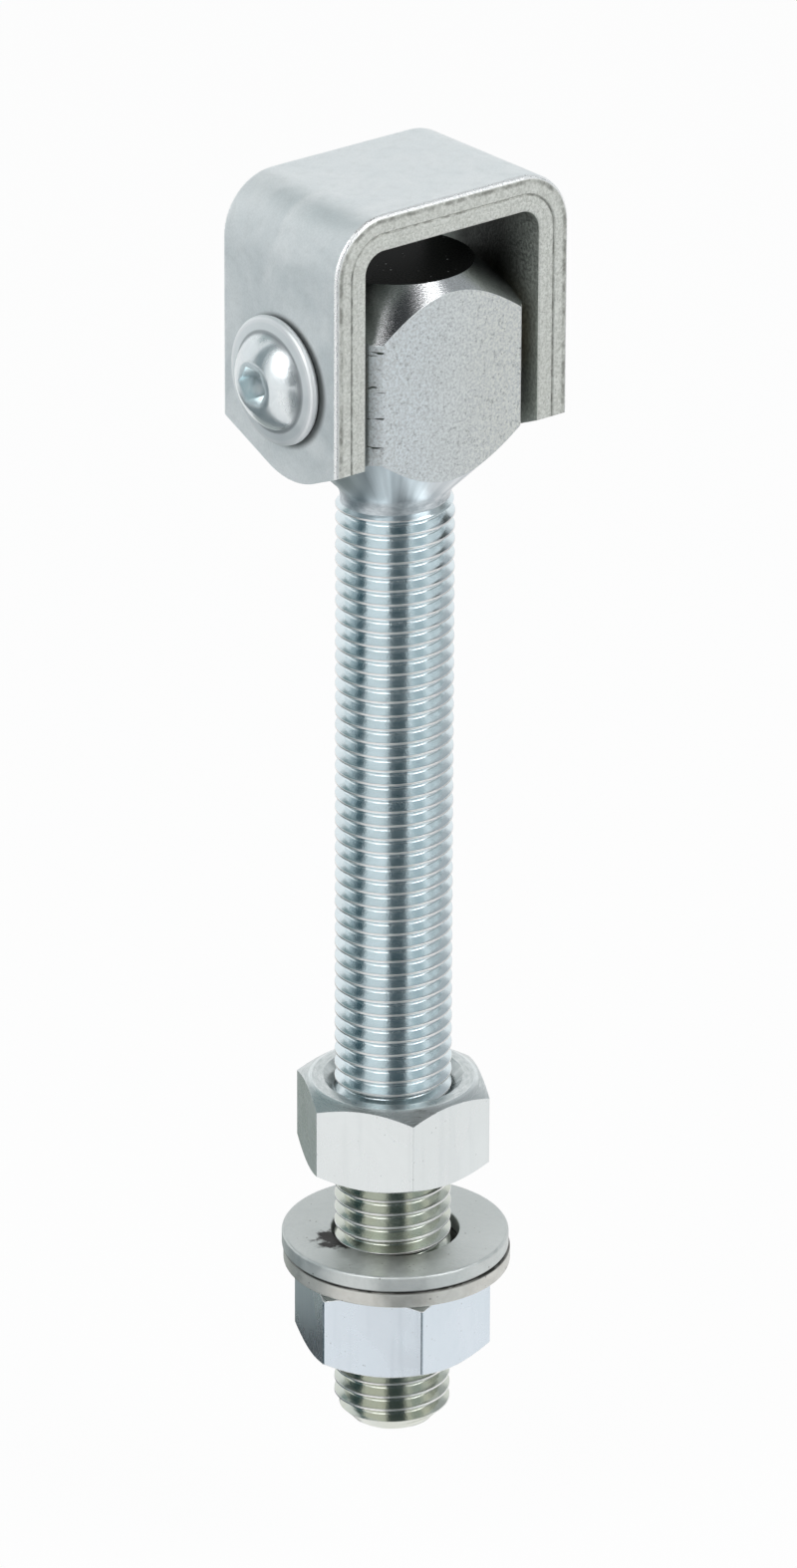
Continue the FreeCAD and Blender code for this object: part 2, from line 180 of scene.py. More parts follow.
# Camera: the photograph's own view
IMAGE_HEIGHT = 1574
SENSOR = 36.0
VIEW_AZIMUTH = -39.03
VIEW_ELEVATION = 23.74
VIEW_ROLL = 0.218
VIEW_DISTANCE = 1549.3 * MM
VIEW_ASIDE = 0.74 * MM
VIEW_HEIGHT = -109.4 * MM
VIEW_FAR = 100.0
FOCAL_PIXELS = 9250.9

# Studio
FLOOR_REACH = 6.0
FLOOR_GAP = 30.0 * MM
FLOOR_GLOW = 0.95
FLOOR_PAINT = (0.9, 0.9, 0.9, 1)
FLOOR_ROUGHNESS = 0.9
WALL = (0.95, 0.97, 0.98)
CEILING = (0.05, 0.05, 0.05)
CEILING_START = 0.80
CEILING_FULL = 0.97
# Panels of the wall: start and end azimuth, low and high end as the sine of the elevation, and shade
PANELS = (
    (-190, -156, 0.50, 0.90, (0.19, 0.27, 0.28)),
    (-138, -107, -1.0, 1.10, (0.08, 0.14, 0.16)),
    (-52, -9, -1.0, 1.10, (0.05, 0.07, 0.08)),
    (38, 90, -1.0, 1.10, (0.40, 0.43, 0.44)),
    (88, 122, 0.45, 0.90, (0.45, 0.48, 0.50)),
    (163, 190, 0.50, 0.90, (0.19, 0.27, 0.28)),
)
PANEL_BLUR = 2.0
PANEL_FADE = 0.04
# Cards on the floor: name, start and end azimuth, near and far end, and shade
CARDS = (
    ("camera_side", -52, -9, 0.02, 1.5, (0.06, 0.085, 0.095)),
    ("left_side", -168, -107, 0.02, 0.48, (0.03, 0.07, 0.085)),
    ("left_far", -130, -107, 0.48, 2.0, (0.05, 0.10, 0.12)),
    ("left_gap", -152, -130, 0.48, 2.0, (0.46, 0.53, 0.55)),
    ("front_right", 2, 30, 0.02, 1.5, (0.58, 0.64, 0.66)),
    ("right_side", 48, 95, 0.25, 0.7, (0.38, 0.41, 0.42)),
    ("behind_far", 148, 190, 0.102, 0.26, (0.30, 0.34, 0.32)),
    ("behind_near", 162, 190, 0.03, 0.102, (0.01, 0.01, 0.01)),
)
CARD_LIFT = 0.5 * MM
CARD_STEPS = 12
# Lamps: name, azimuth, elevation, distance, width, height and watts
LAMPS = (
    ("left_box", -73, 40, 1.2, 0.6, 0.9, 4.0),
    ("right_box", 20, 40, 1.2, 0.5, 0.9, 4.0),
)


# Mesh tools

def arc(centre, radius, start, end, steps):
    """Points of a round stretch, from one angle to another."""
    angles = [math.radians(start + (end - start) * step / steps) for step in range(steps + 1)]
    return [(centre[0] + radius * math.cos(angle), centre[1] + radius * math.sin(angle)) for angle in angles]


def turn(section, steps, closed=False):
    """Spin a half section, pairs of radius and height, once round the Z axis."""
    bm = bmesh.new()
    verts = [bm.verts.new((radius, 0, height)) for radius, height in section]
    edges = [bm.edges.new(pair) for pair in zip(verts, verts[1:])]
    if closed:
        edges.append(bm.edges.new((verts[-1], verts[0])))
    bmesh.ops.spin(bm, geom=verts + edges, cent=(0, 0, 0), axis=(0, 0, 1), angle=math.tau, steps=steps,
                   use_merge=True)
    bmesh.ops.remove_doubles(bm, verts=bm.verts[:], dist=MERGE)
    bmesh.ops.recalc_face_normals(bm, faces=bm.faces[:])
    return bm


def cut_flat(bm, point, normal, material=0):
    """Slice off what lies beyond a plane and close the cut."""
    everything = bm.verts[:] + bm.edges[:] + bm.faces[:]
    cut = bmesh.ops.bisect_plane(bm, geom=everything, dist=MERGE, plane_co=point, plane_no=normal,
                                 clear_outer=True)
    rim = [item for item in cut["geom_cut"] if isinstance(item, bmesh.types.BMEdge)]
    for face in bmesh.ops.holes_fill(bm, edges=rim)["faces"]:
        face.material_index = material


def soften(bm, edges, width, segments=2, material=None):
    """Bevel some edges, with a material of their own if one is given."""
    made = bmesh.ops.bevel(bm, geom=edges, offset=width, offset_type="OFFSET", affect="EDGES",
                           segments=segments, profile=0.5, material=-1, clamp_overlap=True)
    if material is not None:
        for face in made["faces"]:
            face.material_index = material


def ridges(bm, least):
    """Edges whose faces meet at more than an angle."""
    return [edge for edge in bm.edges if edge.is_manifold and edge.calc_face_angle() > math.radians(least)]


def upright(edge):
    """Whether an edge stands along Z."""
    along = edge.verts[1].co - edge.verts[0].co
    return abs(along.normalized().z) > 0.99


def flat_rims(bm, least, material, standing):
    """Ridges beside faces of one material, either the upright ones or all others."""
    return [edge for edge in ridges(bm, least) if upright(edge) == standing
            and any(face.material_index == material for face in edge.link_faces)]


def carved(bm, cutter):
    """Take one solid away from another."""
    solid = mesh_object("solid", bm)
    tool = mesh_object("cutter", cutter)
    boolean = solid.modifiers.new("cut", "BOOLEAN")
    boolean.operation = "DIFFERENCE"
    boolean.solver = "EXACT"
    boolean.object = tool
    shaped = bpy.data.meshes.new_from_object(solid.evaluated_get(bpy.context.evaluated_depsgraph_get()))
    result = bmesh.new()
    result.from_mesh(shaped)
    for item in (solid, tool):
        mesh = item.data
        bpy.data.objects.remove(item)
        bpy.data.meshes.remove(mesh)
    bpy.data.meshes.remove(shaped)
    return result


def bored(bm, radius, centre, reach):
    """Cut a round hole through a solid, along X."""
    cutter = bmesh.new()
    turned = Matrix.Translation(centre) @ Matrix.Rotation(math.radians(90), 4, "Y")
    bmesh.ops.create_cone(cutter, cap_ends=True, segments=SCREW_SPIN, radius1=radius, radius2=radius,
                          depth=2 * reach, matrix=turned)
    return carved(bm, cutter)


def mesh_object(name, bm):
    """Make an object of a mesh, which is used up."""
    mesh = bpy.data.meshes.new(name)
    bm.to_mesh(mesh)
    bm.free()
    item = bpy.data.objects.new(name, mesh)
    bpy.context.scene.collection.objects.link(item)
    return item


def finish_piece(name, bm, materials, node, smooth_angle=32.0):
    """Make the mesh a piece that stands for a node, on that node's body."""
    piece = mesh_object(name, bm)
    for material in materials:
        piece.data.materials.append(material)
    piece.data.shade_smooth()
    piece.data.set_sharp_from_angle(angle=math.radians(smooth_angle))
    weighted = piece.modifiers.new("even_shading", "WEIGHTED_NORMAL")
    weighted.keep_sharp = True
    body = next(body for body, nodes in frame["record"]["behaviour"]["bodies"].items() if node in nodes)
    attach(piece, body)
    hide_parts(node)
    return piece


# Shader tools

def put(tree, kind, values=None, **settings):
    """Add a shader node, with each named input set to a value or linked to a socket."""
    made = tree.nodes.new("ShaderNode" + kind)
    for name, value in settings.items():
        setattr(made, name, value)
    for socket, value in (values or {}).items():
        if isinstance(value, bpy.types.NodeSocket):
            tree.links.new(value, made.inputs[socket])
        else:
            made.inputs[socket].default_value = value
    return made


def calc(tree, operation, first, second=0.0):
    return put(tree, "Math", {0: first, 1: second}, operation=operation).outputs["Value"]


def plus(tree, first, second):
    return calc(tree, "ADD", first, second)


def times(tree, first, second):
    return calc(tree, "MULTIPLY", first, second)


def shift(tree, operation, first, second=(0, 0, 0)):
    return put(tree, "VectorMath", {0: first, 1: second}, operation=operation).outputs


def split(tree, vector):
    return put(tree, "SeparateXYZ", {"Vector": vector}).outputs


def span(tree, value, low, high, to_low=0.0, to_high=1.0):
    """Map a stretch of values to another, with a soft start and end."""
    made = put(tree, "MapRange", {"Value": value, "From Min": low, "From Max": high, "To Min": to_low,
                                  "To Max": to_high}, interpolation_type="SMOOTHSTEP")
    return made.outputs["Result"]


def between(tree, mask, low, high):
    """A number that goes from one value to another with a mask."""
    return span(tree, mask, 0.0, 1.0, low, high)


def band(tree, value, start, full, fade, end):
    """A mask that is whole from full to fade, and gone at start and end."""
    return times(tree, span(tree, value, start, full), span(tree, value, end, fade))


def from_axis(tree, place, across, point=(0, 0, 0)):
    """How far a place lies from the axis through a point, with 1 for each direction square to that axis."""
    apart = shift(tree, "SUBTRACT", place, point)["Vector"]
    apart = shift(tree, "MULTIPLY", apart, across)["Vector"]
    return shift(tree, "LENGTH", apart)["Value"]


def tint(tree, share, first, second):
    """Mix two colours, each a socket or three numbers."""
    colours = [item if isinstance(item, bpy.types.NodeSocket) else (*item, 1) for item in (first, second)]
    made = put(tree, "Mix", {"Factor": share, 6: colours[0], 7: colours[1]}, data_type="RGBA")
    return made.outputs[2]


def veil(tree, mask, strength, colour, shade):
    """Lay a shade over a colour where a mask is, at a strength."""
    return tint(tree, times(tree, mask, strength), colour, shade)


def effect(name, inputs):
    """Start a node group that takes a vector and some numbers and gives a mask."""
    tree = bpy.data.node_groups.new(name, "ShaderNodeTree")
    tree.interface.new_socket("Vector", in_out="INPUT", socket_type="NodeSocketVector")
    for socket, value in inputs.items():
        made = tree.interface.new_socket(socket, in_out="INPUT", socket_type="NodeSocketFloat")
        made.default_value = value
    tree.interface.new_socket("Mask", in_out="OUTPUT", socket_type="NodeSocketFloat")
    return tree, tree.nodes.new("NodeGroupInput").outputs, tree.nodes.new("NodeGroupOutput").inputs["Mask"]


def use(tree, group, vector, **values):
    """Place an effect in a material and give its mask."""
    made = put(tree, "Group", node_tree=group)
    tree.links.new(vector, made.inputs["Vector"])
    for socket, value in values.items():
        made.inputs[socket.capitalize()].default_value = value
    return made.outputs["Mask"]


def make_grain():
    """Fine crystals: noise with its contrast raised."""
    tree, given, mask = effect("grain", {"Scale": 2500.0, "Low": 0.4, "High": 0.6})
    noise = put(tree, "TexNoise", {"Vector": given["Vector"], "Scale": given["Scale"], "Detail": 3.0,
                                   "Roughness": 0.6})
    tree.links.new(span(tree, noise.outputs["Fac"], given["Low"], given["High"]), mask)
    return tree


def make_smudges():
    """Broad cloudy patches left by handling and by the plating bath."""
    tree, given, mask = effect("smudges", {"Scale": 90.0, "Twist": 1.0})
    noise = put(tree, "TexNoise", {"Vector": given["Vector"], "Scale": given["Scale"], "Detail": 4.0,
                                   "Roughness": 0.55, "Distortion": given["Twist"]})
    tree.links.new(span(tree, noise.outputs["Fac"], 0.3, 0.7), mask)
    return tree


def make_turning_marks():
    """Fine rings round the bolt's axis, broken here and there, as a lathe tool leaves them."""
    tree, given, mask = effect("turning_marks", {"Scale": 3000.0, "Breaks": 25.0})
    place = split(tree, given["Vector"])
    along = calc(tree, "SUBTRACT", from_axis(tree, given["Vector"], ACROSS_Z), place["Z"])
    around = calc(tree, "ARCTAN2", place["Y"], place["X"])
    rings = put(tree, "CombineXYZ", {"X": times(tree, along, given["Scale"]),
                                     "Y": times(tree, around, given["Breaks"])})
    noise = put(tree, "TexNoise", {"Vector": rings.outputs["Vector"], "Scale": 1.0, "Detail": 3.0,
                                   "Roughness": 0.65})
    tree.links.new(span(tree, noise.outputs["Fac"], 0.3, 0.7), mask)
    return tree


def make_scratches():
    """Short thin marks that run up and down."""
    tree, given, mask = effect("scratches", {"Across": 2500.0, "Along": 90.0})
    place = split(tree, given["Vector"])
    drawn = put(tree, "CombineXYZ", {"X": times(tree, place["X"], given["Across"]),
                                     "Y": times(tree, place["Y"], given["Across"]),
                                     "Z": times(tree, place["Z"], given["Along"])})
    noise = put(tree, "TexNoise", {"Vector": drawn.outputs["Vector"], "Scale": 1.0, "Detail": 2.0})
    tree.links.new(span(tree, noise.outputs["Fac"], 0.45, 0.75), mask)
    return tree


def make_specks():
    """Small spots, thinly spread."""
    tree, given, mask = effect("specks", {"Scale": 700.0, "Size": 0.12})
    cells = put(tree, "TexVoronoi", {"Vector": given["Vector"], "Scale": given["Scale"]})
    chance = put(tree, "TexNoise", {"Vector": given["Vector"], "Scale": 350.0, "Detail": 2.0})
    near = calc(tree, "LESS_THAN", cells.outputs["Distance"], given["Size"])
    tree.links.new(times(tree, near, span(tree, chance.outputs["Fac"], 0.56, 0.64)), mask)
    return tree


GRAIN = make_grain()
SMUDGES = make_smudges()
TURNING = make_turning_marks()
SCRATCHES = make_scratches()
SPECKS = make_specks()


# Materials

def new_metal(name, metallic=1.0):
    """An empty metal, with its node tree, its shader and its object coordinates."""
    material = bpy.data.materials.new(name)
    material.use_nodes = True
    tree = material.node_tree
    shader = tree.nodes["Principled BSDF"]
    shader.inputs["Metallic"].default_value = metallic
    place = put(tree, "TexCoord").outputs["Object"]
    return material, tree, shader, place


def finish_metal(tree, shader, colour, roughness, height=None, depth=0.0):
    """Join colour, roughness and an optional relief to the shader."""
    tree.links.new(colour, shader.inputs["Base Color"])
    tree.links.new(roughness, shader.inputs["Roughness"])
    if height is not None:
        bump = put(tree, "Bump", {"Height": height, "Strength": 1.0, "Distance": depth})
        tree.links.new(bump.outputs["Normal"], shader.inputs["Normal"])


def make_satin_plate():
    """Cloudy plating, with a painted shadow round the screws' flanges, mostly in front."""
    material, tree, shader, place = new_metal("satin_plate", 0.7)
    clouds = use(tree, SMUDGES, place, scale=70.0, twist=1.5)
    fine = use(tree, GRAIN, place, scale=2600.0, low=0.35, high=0.65)
    marks = use(tree, SCRATCHES, place, across=500.0, along=500.0)
    colour = tint(tree, clouds, (0.80, 0.84, 0.85), (0.92, 0.945, 0.95))
    colour = veil(tree, fine, 0.10, colour, (0.48, 0.51, 0.50))
    colour = veil(tree, marks, 0.10, colour, (0.45, 0.48, 0.47))
    # Painted shadow round the screw's flange, shifted to the front
    apart = from_axis(tree, place, ACROSS_X, (0, -FLANGE_SHADOW_SHIFT, PIVOT.z))
    flange_shadow = span(tree, apart, FLANGE_SHADOW_REACH, FLANGE_SHADOW_REACH - FLANGE_SHADOW_FADE, 0.0, FLANGE_SHADOW_STRENGTH)
    colour = tint(tree, flange_shadow, colour, (0.10, 0.11, 0.11))
    roughness = plus(tree, between(tree, clouds, 0.44, 0.54), times(tree, fine, 0.05))
    finish_metal(tree, shader, colour, roughness, fine, PLATE_RELIEF)
    return material


def make_painted_shade_inside():
    """Inside faces painted dark as shade, with painted light towards the front and back edges."""
    material, tree, shader, place = new_metal("painted_shade_inside", 0.8)
    clouds = use(tree, SMUDGES, place, scale=160.0)
    fine = use(tree, GRAIN, place, scale=1700.0, low=0.35, high=0.65)
    inward = calc(tree, "ABSOLUTE", split(tree, place)["Y"])
    edge = span(tree, inward, INSIDE_LIT_START * BRACKET_HIGH.y, BRACKET_HIGH.y)
    colour = tint(tree, clouds, (0.025, 0.027, 0.025), (0.05, 0.055, 0.05))
    # Painted light near the front and back edges of the inside
    colour = tint(tree, edge, colour, (0.50, 0.54, 0.49))
    colour = veil(tree, fine, 0.35, colour, (0.04, 0.04, 0.035))
    finish_metal(tree, shader, colour, between(tree, fine, 0.50, 0.36), fine, INSIDE_RELIEF)
    return material


def make_sheared_edge():
    """Grainy shear break, pitted, with a painted highlight on the rolled rim and painted shade in its groove."""
    material, tree, shader, place = new_metal("sheared_edge", 0.7)
    crystals = use(tree, GRAIN, place, scale=2300.0, low=0.33, high=0.66)
    flecks = use(tree, GRAIN, place, scale=2100.0, low=0.58, high=0.66)
    broken = use(tree, GRAIN, place, scale=480.0, low=0.34, high=0.66)
    clouds = use(tree, SMUDGES, place, scale=260.0)
    parts = split(tree, place)
    # How deep below the bracket's outer surface a point lies, bends included
    bend_outer = BEND_RADIUS + PLATE
    aside = calc(tree, "SUBTRACT", calc(tree, "ABSOLUTE", parts["X"]), BRACKET_HIGH.x - bend_outer)
    above = plus(tree, parts["Z"], bend_outer)
    corner = put(tree, "CombineXYZ", {"X": calc(tree, "MAXIMUM", aside), "Y": calc(tree, "MAXIMUM", above)})
    out = shift(tree, "LENGTH", corner.outputs["Vector"])["Value"]
    deep = calc(tree, "SUBTRACT", bend_outer, out)
    pitted = band(tree, deep, 0.5 * MM, 0.9 * MM, 1.1 * MM, 1.7 * MM)
    # Painted shade in the shear groove
    groove_shade = band(tree, deep, SHEAR_GROOVE - 0.3 * MM, SHEAR_GROOVE, SHEAR_GROOVE + 0.1 * MM,
                  SHEAR_GROOVE + 0.35 * MM)
    # Painted highlight along the rolled rim
    rim = span(tree, deep, 0.75 * MM, 0.45 * MM)
    colour = tint(tree, crystals, (0.60, 0.61, 0.57), (0.77, 0.78, 0.74))
    colour = veil(tree, clouds, 0.18, colour, (0.46, 0.46, 0.42))
    colour = veil(tree, flecks, 0.25, colour, (0.18, 0.18, 0.15))
    colour = veil(tree, pitted, between(tree, broken, 0.15, 0.65), colour, (0.13, 0.13, 0.11))
    colour = veil(tree, groove_shade, between(tree, broken, 0.25, 0.7), colour, (0.14, 0.14, 0.12))
    colour = tint(tree, rim, colour, (0.90, 0.91, 0.91))
    roughness = calc(tree, "SUBTRACT", between(tree, crystals, 0.56, 0.42), times(tree, rim, 0.15))
    finish_metal(tree, shader, colour, roughness, crystals, SHEAR_RELIEF)
    return material


def make_grained_flat():
    """As-sawn faces: coarse grain, bluer to the left, with open cracks beside them in the turned corners."""
    material, tree, shader, place = new_metal("grained_flat", 0.5)
    crystals = use(tree, GRAIN, place, scale=2100.0, low=0.34, high=0.66)
    flecks = use(tree, GRAIN, place, scale=1800.0, low=0.58, high=0.66)
    clouds = use(tree, SMUDGES, place, scale=110.0, twist=0.5)
    side = span(tree, split(tree, place)["X"], -12.0 * MM, 12.0 * MM)
    light = tint(tree, side, (0.72, 0.77, 0.80), (0.74, 0.75, 0.71))
    colour = tint(tree, crystals, (0.56, 0.58, 0.59), light)
    colour = veil(tree, clouds, 0.15, colour, (0.56, 0.57, 0.54))
    colour = veil(tree, flecks, 0.45, colour, (0.16, 0.17, 0.18))
    level = shift(tree, "MULTIPLY", place, CRACK_SCALE)["Vector"]
    noise = put(tree, "TexNoise", {"Vector": level, "Scale": 1.0, "Detail": 2.0})
    corner = span(tree, from_axis(tree, place, ACROSS_Z), TURNED_RADIUS - 0.3 * MM, TURNED_RADIUS - 0.1 * MM)
    cracks = times(tree, span(tree, noise.outputs["Fac"], 0.65, 0.70), corner)
    colour = tint(tree, cracks, colour, (0.03, 0.04, 0.03))
    finish_metal(tree, shader, colour, between(tree, crystals, 0.60, 0.44), crystals, FLAT_RELIEF)
    return material


def make_turned_cone():
    """Lathe-turned cones: bright above the pivot, duller and bluer below it."""
    material, tree, shader, place = new_metal("turned_cone")
    rings = use(tree, TURNING, place, scale=4200.0)
    coarse = use(tree, TURNING, place, scale=1300.0, breaks=4.0)
    clouds = use(tree, SMUDGES, place, scale=120.0)
    parts = split(tree, place)
    lower = span(tree, parts["Z"], PIVOT.z, PIVOT.z - EDGE_FALL)
    side = span(tree, parts["X"], -10.0 * MM, 12.0 * MM)
    bright = tint(tree, rings, (0.56, 0.57, 0.58), (0.78, 0.79, 0.80))
    bright = veil(tree, clouds, 0.25, bright, (0.52, 0.50, 0.52))
    dull = tint(tree, side, (0.78, 0.83, 0.86), (0.90, 0.89, 0.90))
    dull = veil(tree, coarse, 0.7, dull, (0.42, 0.47, 0.50))
    colour = tint(tree, lower, bright, dull)
    roughness = plus(tree, between(tree, rings, 0.17, 0.07), times(tree, lower, 0.32))
    finish_metal(tree, shader, colour, roughness, rings, CONE_RELIEF)
    return material


def make_painted_black_top():
    """End of the head painted near black as a painted reflection of its dark surroundings, with a few bright
    specks.
    """
    material, tree, shader, place = new_metal("painted_black_top", 0.0)
    shader.inputs["Specular IOR Level"].default_value = 0.01
    specks = use(tree, SPECKS, place, scale=900.0, size=0.16)
    rings = use(tree, TURNING, place, scale=3500.0)
    colour = tint(tree, rings, (0.003, 0.003, 0.003), (0.014, 0.015, 0.014))
    colour = tint(tree, specks, colour, (0.3, 0.31, 0.31))
    finish_metal(tree, shader, colour, between(tree, rings, 0.32, 0.24))
    return material


def make_rolled_thread():
    """Bluish bright plating with a painted highlight on the crests, greener towards the tip."""
    material, tree, shader, place = new_metal("rolled_thread")
    clouds = use(tree, SMUDGES, place, scale=160.0)
    fine = use(tree, GRAIN, place, scale=2600.0, low=0.4, high=0.66)
    lower = span(tree, split(tree, place)["Z"], GREENER_START, GREENER_FULL)
    colour = tint(tree, lower, (0.76, 0.84, 0.87), (0.62, 0.64, 0.56))
    colour = veil(tree, clouds, 0.25, colour, (0.62, 0.69, 0.71))
    colour = veil(tree, fine, 0.12, colour, (0.85, 0.87, 0.87))
    radius = from_axis(tree, place, ACROSS_Z)
    # Painted highlight on the crests
    crest_highlight = span(tree, radius, THREAD_RADIUS - 0.12 * MM, THREAD_RADIUS - 0.02 * MM)
    colour = tint(tree, crest_highlight, colour, (0.90, 0.89, 0.88))
    roughness = plus(tree, between(tree, clouds, 0.15, 0.22), times(tree, crest_highlight, 0.20))
    finish_metal(tree, shader, colour, roughness, fine, THREAD_RELIEF)
    return material


def make_bright_screw():
    """Bright dome with painted shade at its foot, on a duller flange whose rim carries a painted highlight."""
    material, tree, shader, place = new_metal("bright_screw", 0.75)
    clouds = use(tree, SMUDGES, place, scale=150.0)
    fine = use(tree, GRAIN, place, scale=1500.0, low=0.4, high=0.7)
    radius = from_axis(tree, place, ACROSS_X, (0, 0, PIVOT.z))
    flange = span(tree, radius, DOME_FOOT - 0.6 * MM, DOME_FOOT + 0.4 * MM)
    # Painted shade where the dome meets the flange
    foot_shade = band(tree, radius, DOME_FOOT - 0.5 * MM, DOME_FOOT, DOME_FOOT + 0.2 * MM, DOME_FOOT + 0.6 * MM)
    # Painted highlight on the flange's rim
    rim_highlight_start = (SCREW_HIGH.z - SCREW_LOW.z) / 2 - FLANGE_RIM / 2
    rim = span(tree, radius, rim_highlight_start - 0.3 * MM, rim_highlight_start)
    colour = tint(tree, clouds, (0.72, 0.77, 0.79), (0.82, 0.86, 0.87))
    colour = veil(tree, fine, 0.12, colour, (0.50, 0.53, 0.56))
    colour = veil(tree, flange, 0.7, colour, (0.86, 0.89, 0.90))
    colour = tint(tree, rim, colour, (0.90, 0.92, 0.93))
    colour = veil(tree, foot_shade, 0.6, colour, (0.22, 0.24, 0.26))
    roughness = plus(tree, between(tree, clouds, 0.20, 0.28), times(tree, flange, 0.26))
    finish_metal(tree, shader, colour, roughness, fine, SCREW_RELIEF)
    return material


def make_painted_light_socket():
    """Plating in the screws' sockets, made lighter than the dome as painted light in the recess."""
    material, tree, shader, place = new_metal("painted_light_socket", 0.85)
    clouds = use(tree, SMUDGES, place, scale=300.0)
    colour = tint(tree, clouds, (0.80, 0.88, 0.90), (0.92, 0.96, 0.97))
    finish_metal(tree, shader, colour, between(tree, clouds, 0.14, 0.22))
    return material


def make_satin_nut(name, light, dark):
    """Smooth rolled flats with a few specks."""
    material, tree, shader, place = new_metal(name)
    clouds = use(tree, SMUDGES, place, scale=90.0, twist=0.8)
    marks = use(tree, SCRATCHES, place, across=900.0, along=60.0)
    specks = use(tree, SPECKS, place, scale=1100.0, size=0.14)
    colour = tint(tree, clouds, dark, light)
    colour = veil(tree, marks, 0.2, colour, dark)
    colour = veil(tree, specks, 0.5, colour, (0.30, 0.31, 0.31))
    roughness = plus(tree, between(tree, clouds, 0.22, 0.32), times(tree, marks, 0.05))
    finish_metal(tree, shader, colour, roughness)
    return material


def make_faced_nut():
    """Ends of the nuts: faced and bevelled on a lathe, with rims lightened by wear and a painted highlight."""
    material, tree, shader, place = new_metal("faced_nut")
    rings = use(tree, TURNING, place, scale=2600.0, breaks=6.0)
    clouds = use(tree, SMUDGES, place, scale=140.0)
    radius = from_axis(tree, place, ACROSS_Z)
    # Rim lightened by wear and a painted highlight
    rim_wear_and_highlight = band(tree, radius, NUT_FACE - 0.3 * MM, NUT_FACE, NUT_FACE + 0.3 * MM, NUT_FACE + 0.7 * MM)
    colour = tint(tree, rings, (0.56, 0.60, 0.60), (0.72, 0.75, 0.75))
    colour = veil(tree, clouds, 0.3, colour, (0.50, 0.54, 0.53))
    colour = tint(tree, rim_wear_and_highlight, colour, (0.78, 0.82, 0.82))
    finish_metal(tree, shader, colour, between(tree, rings, 0.38, 0.26), rings, NUT_RELIEF)
    return material


def make_painted_edge_highlight():
    """Edges of the nuts, with a painted highlight."""
    material, tree, shader, place = new_metal("painted_edge_highlight", 0.4)
    fine = use(tree, GRAIN, place, scale=1500.0, low=0.3, high=0.7)
    colour = tint(tree, fine, (0.72, 0.75, 0.75), (0.96, 0.97, 0.97))
    finish_metal(tree, shader, colour, between(tree, fine, 0.45, 0.30))
    return material


def make_dull_washer(name, dark, light, spotted):
    """Grey plating, with painted shade where the two washers meet and, on one of them, dark patches beside the
    bore.
    """
    material, tree, shader, place = new_metal(name, 0.65)
    clouds = use(tree, SMUDGES, place, scale=130.0, twist=1.5)
    crystals = use(tree, GRAIN, place, scale=1500.0, low=0.35, high=0.68)
    specks = use(tree, SPECKS, place, scale=900.0, size=0.16)
    colour = tint(tree, clouds, dark, light)
    colour = veil(tree, crystals, 0.25, colour, (0.72, 0.73, 0.71))
    colour = veil(tree, specks, 0.6, colour, (0.16, 0.15, 0.14))
    near = calc(tree, "ABSOLUTE", calc(tree, "SUBTRACT", split(tree, place)["Z"], WASHER_SEAM))
    # Painted shade where the two washers meet
    seam_shade = span(tree, near, 0.55 * MM, 0.2 * MM)
    colour = veil(tree, seam_shade, between(tree, clouds, 0.8, 1.0), colour, (0.03, 0.03, 0.025))
    if spotted:
        torn = use(tree, GRAIN, place, scale=480.0, low=0.3, high=0.7)
        # Dark patches beside the bore: a dark brown one, and a painted shadow and reflection of the thread in
        # front
        for centre, reach, ragged, strength, shade in DARK_PATCHES:
            apart = shift(tree, "DISTANCE", place, centre)["Value"]
            apart = plus(tree, apart, times(tree, torn, ragged * reach))
            spot = span(tree, apart, reach, PATCH_CORE * ragged * reach)
            colour = veil(tree, spot, strength, colour, shade)
    finish_metal(tree, shader, colour, between(tree, clouds, 0.34, 0.48), crystals, WASHER_RELIEF)
    return material


def make_ground_pin():
    """Plain ground steel."""
    material, tree, shader, place = new_metal("ground_pin")
    marks = use(tree, GRAIN, place, scale=1200.0, low=0.3, high=0.7)
    colour = tint(tree, marks, (0.34, 0.34, 0.34), (0.46, 0.46, 0.46))
    finish_metal(tree, shader, colour, between(tree, marks, 0.22, 0.36))
    return material


def make_bush_bronze():
    """Porous sintered bronze."""
    material, tree, shader, place = new_metal("bush_bronze")
    pores = use(tree, GRAIN, place, scale=2200.0, low=0.4, high=0.62)
    colour = tint(tree, pores, (0.16, 0.12, 0.07), (0.34, 0.25, 0.15))
    finish_metal(tree, shader, colour, between(tree, pores, 0.6, 0.42), pores, BUSH_RELIEF)
    return material


satin_plate = make_satin_plate()
painted_shade_inside = make_painted_shade_inside()
sheared_edge = make_sheared_edge()
grained_flat = make_grained_flat()
turned_cone = make_turned_cone()
painted_black_top = make_painted_black_top()
rolled_thread = make_rolled_thread()
bright_screw = make_bright_screw()
painted_light_socket = make_painted_light_socket()
pale_nut = make_satin_nut("pale_nut", (0.81, 0.84, 0.84), (0.74, 0.77, 0.77))
blue_nut = make_satin_nut("blue_nut", (0.75, 0.81, 0.87), (0.68, 0.75, 0.81))
faced_nut = make_faced_nut()
painted_edge_highlight = make_painted_edge_highlight()
spotted_washer = make_dull_washer("spotted_washer", (0.56, 0.59, 0.58), (0.68, 0.71, 0.70), True)
dull_washer = make_dull_washer("dull_washer", (0.58, 0.57, 0.53), (0.74, 0.73, 0.69), False)
ground_pin = make_ground_pin()
bush_bronze = make_bush_bronze()


# Pieces

